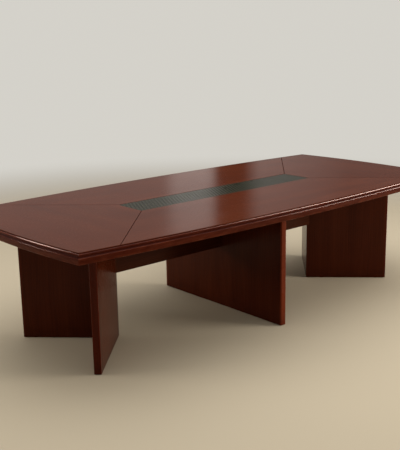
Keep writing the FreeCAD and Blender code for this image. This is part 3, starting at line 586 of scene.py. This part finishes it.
def make_moulding(side, facing, bow, finish):
    """One length of the rim: the section is set in place, spun round the bow's far
    centre, and cut at both mitres."""
    bow_radius, reach, half_angle, mitre, spare_length = bow
    section = moulding_section()
    centre = Vector((cos(facing), sin(facing), 0)) * (reach - bow_radius)
    spare = spare_length / bow_radius
    start = facing - half_angle - spare
    outward = Vector((cos(start), sin(start), 0))
    deselect_all()
    bpy.ops.mesh.primitive_circle_add(vertices=len(section), radius=0.02, fill_type="NGON")
    piece = begin_piece(f"rim_moulding_{side}")
    shape = bmesh.from_edit_mesh(piece.data)
    shape.verts.ensure_lookup_table()
    for corner, (out, height) in zip(shape.verts, section):
        corner.co = centre + outward * (bow_radius + out) + Vector((0, 0, height))
    bmesh.update_edit_mesh(piece.data)
    bpy.ops.mesh.select_all(action="SELECT")
    # The spin turns clockwise for a positive angle.
    sweep = -2 * (half_angle + spare)
    bpy.ops.mesh.spin(steps=BOW_STEPS, angle=sweep, center=centre, axis=(0, 0, 1), dupli=False)
    for end in (-1, 1):
        corner_way = facing + end * half_angle
        flat_corner = centre + Vector((cos(corner_way), sin(corner_way), 0)) * bow_radius
        cut_mitre(piece, flat_corner, facing + end * mitre, end)
    close_piece(piece, sharp_from=38)
    mark_run(piece, facing, centre, bow_radius)
    return hang_piece(piece, "frame", finish, "solid_hardwood", f"edge_moulding_{side}")


def cut_mitre(piece, flat_corner, cut_way, end):
    """Cuts one end off along the mitre and eases the edges of the cut."""
    away = Vector((-sin(cut_way), cos(cut_way), 0)) * end
    bpy.ops.mesh.select_all(action="SELECT")
    bpy.ops.mesh.bisect(
        plane_co=flat_corner, plane_no=away, use_fill=True, clear_outer=True, threshold=CUTTING
    )

    def on_cut(spot):
        return abs((spot - flat_corner).dot(away)) < ON_CUT

    select_edges(piece, lambda first, second: on_cut(first) and on_cut(second))
    bpy.ops.mesh.bevel(offset=MITRE_EASE, segments=1, affect="EDGES")


def mark_run(piece, facing, centre, bow_radius):
    """Keeps on every point how far along, how far out and how high it is, and how
    near an edge that hands and cloths rub."""
    mesh = piece.data
    mesh.attributes.new("run", "FLOAT_VECTOR", "POINT")
    mesh.attributes.new("worn", "FLOAT", "POINT")
    run, worn = mesh.attributes["run"], mesh.attributes["worn"]
    sideways = Vector((-sin(facing), cos(facing), 0))
    for index, corner in enumerate(mesh.vertices):
        flat = Vector((corner.co.x, corner.co.y, 0)) - centre
        angle = flat.dot(sideways) / flat.length
        out = flat.length - bow_radius
        # The direction is added so that no two lengths have the same grain.
        run.data[index].vector = (angle * bow_radius + facing, out, corner.co.z)
        near = 0.0
        for edge_out, edge_height, spread in WORN_EDGES:
            away = sqrt((out - edge_out) ** 2 + (corner.co.z - edge_height) ** 2)
            near = max(near, 1.0 - away / spread)
        worn.data[index].value = near


# ---------------------------------------------------------------- the inlay


def crosses_over(column, row):
    """In a plain weave each strip passes over one other and under the next."""
    return (column + row) % 2 == 0


def weave_height(i, j):
    """How high a point of the grid stands, from 0 in the gaps to 1 on the crowns."""
    column, part_x = divmod(i, STRIP_PARTS)
    row, part_y = divmod(j, STRIP_PARTS)
    if crosses_over(column, row):
        across, along = part_x / STRIP_PARTS, part_y / STRIP_PARTS
    else:
        across, along = part_y / STRIP_PARTS, part_x / STRIP_PARTS
    if not across or not along:
        return 0.0
    return ACROSS_SHARE * sin(pi * across) ** 0.5 + ALONG_SHARE * sin(pi * along)


def strip_tones(chance, count):
    """Each strip's own tone."""
    spread = STRIP_TONE_SPREAD
    return [0.5 + chance.uniform(-spread, spread) for _ in range(count + 1)]


def make_inlay(finish):
    """Strips woven over and under. The panel starts as a fine grid, which is pulled
    into the weave's relief, and its rim is taken down to the board."""
    low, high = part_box("woven_inlay")
    size = high - low
    middle = (low + high) / 2
    columns = round(size.x / STRIP_WIDTH)
    rows = round(size.y / CROSS_STRIP_WIDTH)
    parts_x, parts_y = columns * STRIP_PARTS, rows * STRIP_PARTS
    deselect_all()
    bpy.ops.mesh.primitive_grid_add(
        x_subdivisions=parts_x,
        y_subdivisions=parts_y,
        size=1.0,
        location=(middle.x, middle.y, high.z),
    )
    piece = begin_piece("woven_panel", (size.x, size.y, 1.0))
    shape = bmesh.from_edit_mesh(piece.data)
    for spot in shape.verts:
        i = round((spot.co.x - low.x) / (size.x / parts_x))
        j = round((spot.co.y - low.y) / (size.y / parts_y))
        spot.co.z = high.z - STRIP_RELIEF * (1.0 - weave_height(i, j))
    tone = shape.faces.layers.float.new("strip_tone")
    across = shape.faces.layers.float.new("strip_across")
    chance = Random(STRIP_TONE_SEED)
    column_tones = strip_tones(chance, columns)
    row_tones = strip_tones(chance, rows)
    for face in shape.faces:
        spot = face.calc_center_median()
        i = int((spot.x - low.x) / size.x * columns)
        j = int((spot.y - low.y) / size.y * rows)
        face[across] = crosses_over(i, j)
        face[tone] = column_tones[i] if crosses_over(i, j) else row_tones[j]
    bmesh.update_edit_mesh(piece.data)
    bpy.ops.mesh.select_mode(type="EDGE")
    bpy.ops.mesh.select_all(action="DESELECT")
    shape = bmesh.from_edit_mesh(piece.data)
    for edge in shape.edges:
        edge.select_set(edge.is_boundary)
    bmesh.update_edit_mesh(piece.data)
    bpy.ops.mesh.extrude_edges_move()
    shape = bmesh.from_edit_mesh(piece.data)
    for spot in shape.verts:
        if spot.select:
            spot.co.z = low.z
    bmesh.update_edit_mesh(piece.data)
    bpy.ops.mesh.edge_face_add()
    close_piece(piece, sharp_from=60)
    hang_piece(piece, "frame", finish, "woven_panel", "woven_inlay")


# ---------------------------------------------------------------- the supports


def make_lipping(name, node, origin, turn, inward, start, finish):
    """A solid wood edge at the end of a panel that runs from its origin: its two outer
    upright edges are rounded, and the edges at its foot just eased."""
    along = Vector((cos(turn), sin(turn), 0))
    aside = Vector((-sin(turn), cos(turn), 0))
    middle = origin + along * (start + LIPPING_DEPTH / 2) + aside * inward
    middle.z = (LIPPING_FOOT + LIPPING_HEAD) / 2
    deselect_all()
    bpy.ops.mesh.primitive_cube_add(size=1.0, location=middle, rotation=(0, 0, turn))
    piece = begin_piece(name, (LIPPING_DEPTH, PANEL_THICKNESS, LIPPING_HEAD - LIPPING_FOOT))

    def is_outer(spot):
        return (spot - origin).dot(along) > start + LIPPING_DEPTH - TOUCH

    def is_low(spot):
        return spot.z < LIPPING_FOOT + TOUCH

    def outer_upright(first, second):
        return is_outer(first) and is_outer(second) and is_low(first) != is_low(second)

    select_edges(piece, outer_upright)
    bpy.ops.mesh.bevel(offset=LIPPING_RADIUS, segments=7, affect="EDGES")
    select_edges(piece, lambda first, second: is_low(first) and is_low(second))
    bpy.ops.mesh.bevel(offset=LIPPING_EASE, segments=2, affect="EDGES")
    close_piece(piece, sharp_from=40)
    hang_piece(piece, "frame", finish, "solid_hardwood", node)


def make_supports(finish, lit_middle_finish):
    """The solid edges of the four arms and of the middle panel; the middle panel's edges take the
    lighter copy of the wood, with painted light.
    """
    for side, end, sign, turn, inward in ARMS:
        name, node = f"lipping_{side}_{end}", f"pedestal_{side}_{end}_lipping"
        apex = Vector((sign * ARM_APEX, 0, 0))
        aside = inward * PANEL_THICKNESS / 2
        make_lipping(name, node, apex, radians(turn), aside, ARM_BODY, finish)
    for end, turn in (("front", -90), ("back", 90)):
        name, node = f"lipping_middle_{end}", f"middle_{end}_lipping"
        place = (Vector(), radians(turn), 0.0, MIDDLE_BODY_HALF)
        make_lipping(name, node, *place, lit_middle_finish)


# ---------------------------------------------------------------- the glides


def make_glide():
    """A levelling glide turned about the upright axis: a nylon foot with an eased
    edge, and a steel stem with its thread."""
    start = FOOT_RADIUS - FOOT_EASE
    nearly_full = FOOT_RADIUS - FOOT_EASE_END
    root = STEM_RADIUS - THREAD_DEPTH
    deselect_all()
    bpy.ops.mesh.primitive_circle_add(vertices=40, radius=start, fill_type="NGON")
    piece = begin_piece("levelling_glide")
    bpy.ops.mesh.select_all(action="SELECT")

    def rise(height, radius_change):
        bpy.ops.mesh.extrude_region_move(TRANSFORM_OT_translate={"value": (0, 0, height)})
        bpy.ops.transform.resize(value=(radius_change, radius_change, 1.0))

    rise(FOOT_EASE_END, nearly_full / start)
    rise(FOOT_EASE - FOOT_EASE_END, FOOT_RADIUS / nearly_full)
    rise(FOOT_HEIGHT - 2 * FOOT_EASE, 1.0)
    rise(FOOT_EASE - FOOT_EASE_END, nearly_full / FOOT_RADIUS)
    rise(FOOT_EASE_END, start / nearly_full)
    bpy.ops.mesh.inset(thickness=start - root, depth=0)
    stem = STEM_HEAD - FOOT_HEIGHT
    ridges = int((stem - PLAIN_TIP) / THREAD_PITCH)
    for _ in range(ridges):
        rise(THREAD_PITCH / 2, STEM_RADIUS / root)
        rise(THREAD_PITCH / 2, root / STEM_RADIUS)
    rise(stem - ridges * THREAD_PITCH, (root - TIP_TAPER) / root)
    return close_piece(piece, sharp_from=30)


def make_glides(nylon, steel):
    """The glide is modelled once, and each body gets its own copy."""
    pattern = make_glide()
    for name in sorted(body for body in frame["bodies"] if body.startswith("glide_")):
        node = "levelling_" + name
        low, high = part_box(node)
        middle = (low + high) / 2
        piece = pattern.copy()
        piece.data = pattern.data.copy()
        piece.name = piece.data.name = "foot_" + name
        bpy.context.scene.collection.objects.link(piece)
        piece.data.transform(Matrix.Translation((middle.x, middle.y, low.z)))
        hang_piece(piece, name, nylon, "glide_plastic", node)
        piece.data.materials.append(steel)
        for face in piece.data.polygons:
            if face.center.z > low.z + FOOT_HEIGHT + TOUCH:
                face.material_index = 1
    bpy.data.objects.remove(pattern)


# ---------------------------------------------------------------- the stage


WALL_TONE = (0.66, 0.64, 0.59)
FLOOR_TONE = (0.47, 0.405, 0.30)
FLECK_TONE = tuple(share * 0.965 for share in FLOOR_TONE)
FLOOR_RADIUS = 60.0
FADE_STARTS, FADE_ENDS = 3.0, 6.4
FILL_TINT, FILL_STRENGTH = (1.0, 0.98, 0.94), 0.33

# Each lamp: where it is and what it looks at, its width and height, its radiance, its
# tint, and whether the glosses mirror it.
LAMPS = {
    "overhead_panel": ((0.3, 0.2, 4.2), (0, 0, 0.7), 6.5, 5.5, 2.05, (1.0, 0.98, 0.95), True),
    "front_panel": ((3.9, -4.5, 1.8), (0.4, -0.3, 0.45), 2.4, 1.8, 22.0, (1.0, 0.95, 0.88), False),
    "left_panel": ((-4.2, 2.4, 1.5), (0, 0, 0.3), 2.2, 1.2, 10.0, (1.0, 0.95, 0.88), False),
}

# What the glosses of the top mirror, from left to right: how far across, and how light.
REFLECTOR_DISTANCE, REFLECTOR_HEIGHT = 8.5, 1.3
REFLECTOR_SIZE = (8.0, 2.6)
REFLECTED_BANDS = (
    (0.00, 0.40),
    (0.452, 0.37),
    (0.470, 0.80),
    (0.510, 0.84),
    (0.517, 0.66),
    (0.526, 0.03),
    (0.560, 0.03),
    (0.580, 0.44),
    (0.640, 0.34),
    (0.700, 0.20),
)
# The cards that only the rim mirrors: where they are and what they face, their size
# and their strength.
RIM_CARDS = {
    "right_card": ((6.9, 0.85, 5.2), (0.5, -0.67, 0.75), (6.3, 4.4), 42.0),
    "left_card": ((-1.18, 3.74, 3.62), (-1.47, -0.35, 0.75), (1.76, 0.70), 52.0),
}
CARD_TINT = (1.0, 0.73, 0.62)

# The photograph's own viewpoint, solved from the table's measured points.
CAMERA_PLACE = Vector((-3.37872, -3.69182, 1.74633))
CAMERA_YAW, CAMERA_PITCH, CAMERA_ROLL = 0.856062, 0.238827, -0.017303
FOCAL_LENGTH, SENSOR_WIDTH = 65.009, 36.0
NEAREST, FARTHEST = 0.05, 200.0


def seen_directly(tree):
    """One for rays that look at the background: straight, in a gloss or through glass."""
    path = add_node(tree, "LightPath")
    seen = plus(tree, path.outputs["Is Camera Ray"], path.outputs["Is Glossy Ray"], clamp=True)
    return plus(tree, seen, path.outputs["Is Transmission Ray"], clamp=True)


def make_floor():
    """A plain pale floor that fades into the background far from the table."""
    deselect_all()
    bpy.ops.mesh.primitive_circle_add(vertices=96, radius=FLOOR_RADIUS, fill_type="NGON")
    floor = bpy.context.object
    floor.name = "studio_floor"
    finish, tree, shader = new_finish("pale_floor")
    place = on_object(tree)
    fleck = noise(tree, place, (260.0, 260.0, 260.0), 3.0, 0.6)
    colour = tones(tree, fleck, ((0.3, FLECK_TONE), (0.7, FLOOR_TONE)))
    tree.links.new(colour, shader.inputs["Base Color"])
    shader.inputs["Roughness"].default_value = 0.9
    shader.inputs["Specular IOR Level"].default_value = 0.1
    glow = add_node(tree, "Emission", {"Color": (*WALL_TONE, 1.0), "Strength": 1.0})
    away = add_node(tree, "VectorMath", {0: place}, operation="LENGTH").outputs["Value"]
    fade = times(tree, between(tree, away, FADE_STARTS, FADE_ENDS), seen_directly(tree))
    mixed = add_node(tree, "MixShader", {0: fade, 1: shader.outputs[0], 2: glow.outputs[0]})
    output = next(node for node in tree.nodes if node.type == "OUTPUT_MATERIAL")
    tree.links.new(mixed.outputs[0], output.inputs["Surface"])
    floor.data.materials.append(finish)
    floor.select_set(False)


def make_lamp(name, place, aim, width, height, radiance, tint, mirrored):
    """A soft panel that looks at a point. The camera doesn't see it, and the glosses
    only where it is mirrored."""
    lamp = bpy.data.lights.new(name, "AREA")
    lamp.shape = "RECTANGLE"
    lamp.size, lamp.size_y = width, height
    lamp.energy = radiance * pi * width * height
    lamp.color = tint
    holder = bpy.data.objects.new(name, lamp)
    bpy.context.scene.collection.objects.link(holder)
    turn = (Vector(aim) - Vector(place)).to_track_quat("-Z", "Y")
    holder.matrix_world = Matrix.Translation(place) @ turn.to_matrix().to_4x4()
    holder.visible_camera = False
    holder.visible_glossy = mirrored


def make_light():
    """A pale room with soft lamps."""
    world = bpy.data.worlds.new("pale_room")
    bpy.context.scene.world = world
    world.use_nodes = True
    tree = world.node_tree
    tree.nodes.clear()
    seen = add_node(tree, "Background", {"Color": (*WALL_TONE, 1.0), "Strength": 1.0})
    fill = add_node(tree, "Background", {"Color": (*FILL_TINT, 1.0), "Strength": FILL_STRENGTH})
    share = seen_directly(tree)
    mixed = add_node(tree, "MixShader", {0: share, 1: fill.outputs[0], 2: seen.outputs[0]})
    output = add_node(tree, "OutputWorld")
    tree.links.new(mixed.outputs[0], output.inputs["Surface"])
    for name, lamp in LAMPS.items():
        make_lamp(name, *lamp)


def make_card(name, middle, turn, size, glow_colour, strength):
    """A glowing card that only glosses see. Its colour may run across its width."""
    deselect_all()
    bpy.ops.mesh.primitive_plane_add(size=1.0, location=middle, rotation=turn)
    card = bpy.context.object
    card.name = name
    card.scale = (*size, 1.0)
    finish = bpy.data.materials.new(name + "_glow")
    finish.use_nodes = True
    tree = finish.node_tree
    tree.nodes.clear()
    across = plus(tree, one_axis(tree, on_object(tree), "X"), 0.5)
    colour = tones(tree, across, glow_colour)
    glow = add_node(tree, "Emission", {"Color": colour, "Strength": strength})
    output = add_node(tree, "OutputMaterial")
    tree.links.new(glow.outputs[0], output.inputs["Surface"])
    card.data.materials.append(finish)
    card.visible_camera = False
    card.visible_diffuse = False
    card.visible_shadow = False
    card.select_set(False)
    return card


def make_reflections(rim_pieces):
    """What the glosses see: a backdrop with the soft upright bands of a window and a
    corner of the room, and two bright cards that the rim's rounds catch."""
    way = Vector((cos(CAMERA_YAW), sin(CAMERA_YAW), 0))
    middle = Vector((CAMERA_PLACE.x, CAMERA_PLACE.y, REFLECTOR_HEIGHT)) + way * REFLECTOR_DISTANCE
    bands = [(spot, (tone, tone * 0.95, tone * 0.90)) for spot, tone in REFLECTED_BANDS]
    turn = (pi / 2, 0, CAMERA_YAW - pi / 2)
    make_card("studio_reflector", middle, turn, REFLECTOR_SIZE, bands, 1.0)
    rim = bpy.data.collections.new("lit_by_the_cards")
    for piece in rim_pieces:
        rim.objects.link(piece)
    plain = ((0.0, CARD_TINT), (1.0, CARD_TINT))
    for name, (place, aim, size, strength) in RIM_CARDS.items():
        turn = (Vector(aim) - Vector(place)).to_track_quat("Z", "Y").to_euler()
        card = make_card(name, place, turn, size, plain, strength)
        card.light_linking.receiver_collection = rim


def make_camera():
    """The photograph's own viewpoint."""
    flat_way = Vector((cos(CAMERA_YAW), sin(CAMERA_YAW), 0))
    ahead = flat_way * cos(CAMERA_PITCH) - Vector((0, 0, sin(CAMERA_PITCH)))
    level_right = Vector((sin(CAMERA_YAW), -cos(CAMERA_YAW), 0))
    level_up = level_right.cross(ahead)
    right = level_right * cos(CAMERA_ROLL) + level_up * sin(CAMERA_ROLL)
    up = level_up * cos(CAMERA_ROLL) - level_right * sin(CAMERA_ROLL)
    lens = bpy.data.cameras.new("camera")
    lens.sensor_width = SENSOR_WIDTH
    lens.lens = FOCAL_LENGTH
    lens.clip_start, lens.clip_end = NEAREST, FARTHEST
    camera = bpy.data.objects.new("camera", lens)
    bpy.context.scene.collection.objects.link(camera)
    turn = Matrix((right, up, -ahead)).transposed().to_4x4()
    camera.matrix_world = Matrix.Translation(CAMERA_PLACE) @ turn
    bpy.context.scene.camera = camera


# ---------------------------------------------------------------- the whole table


def finish_nodes(finish, *names):
    """A part whose shape is right keeps it, and takes the finish."""
    for name in names:
        mesh = frame["nodes"][name].data
        mesh.materials.clear()
        mesh.materials.append(finish)


def make_table():
    """Dresses the whole table, and returns the four lengths of its rim."""
    for side in FIELDS:
        finish_nodes(make_field_finish(side), f"top_field_{side}")
    rim_wood = wood("mahogany_rim", "run", RIM_TINTS, (0.0, 0.03, -0.74), **RIM_LACQUER)
    arm_edges = wood("mahogany_edge", "z", ARM_EDGE_TINTS, (0.0, 0.5, 0.9), **EDGE_LACQUER)
    # The middle panel's edges take a lighter copy of the edge wood: painted light.
    lit_middle_edges = wood(
        "mahogany_middle_edge_painted_lit", "z", MIDDLE_EDGE_LIT_TINTS, (0.0, 0.4, 0.6), **EDGE_LACQUER
    )
    panel_wood = wood("mahogany_panel", "z", PANEL_TINTS, (0.3, 0.0, 0.35), **PANEL_LACQUER)
    rail_wood = wood("mahogany_rail", "x", RAIL_TINTS, (0.0, 0.0, -0.5), **RAIL_LACQUER)
    board, steel, nylon = make_board(), make_steel(), make_nylon()
    rim_pieces = [make_moulding(side, facing, bow, rim_wood) for side, facing, bow in RIM_SIDES]
    make_inlay(make_weave())
    make_supports(arm_edges, lit_middle_edges)
    make_glides(nylon, steel)
    panels = [f"pedestal_{side}_{end}_panel" for side, end, *_ in ARMS]
    finish_nodes(panel_wood, "middle_panel", *panels)
    finish_nodes(panel_wood, "pedestal_left_corner_block", "pedestal_right_corner_block")
    finish_nodes(rail_wood, "rail_left", "rail_right")
    finish_nodes(board, "top_core_board", *(f"rim_backing_{side}" for side in FIELDS))
    finish_nodes(
        steel,
        "top_angles_left",
        "top_angles_middle",
        "top_angles_right",
        "angle_screws",
        "rail_bolts",
        "rail_studs",
        "rail_barrel_nuts",
        "glide_inserts",
    )
    return rim_pieces


deselect_all()
rim_pieces = make_table()
make_floor()
make_light()
make_reflections(rim_pieces)
make_camera()
bpy.context.scene.view_settings.view_transform = "Standard"
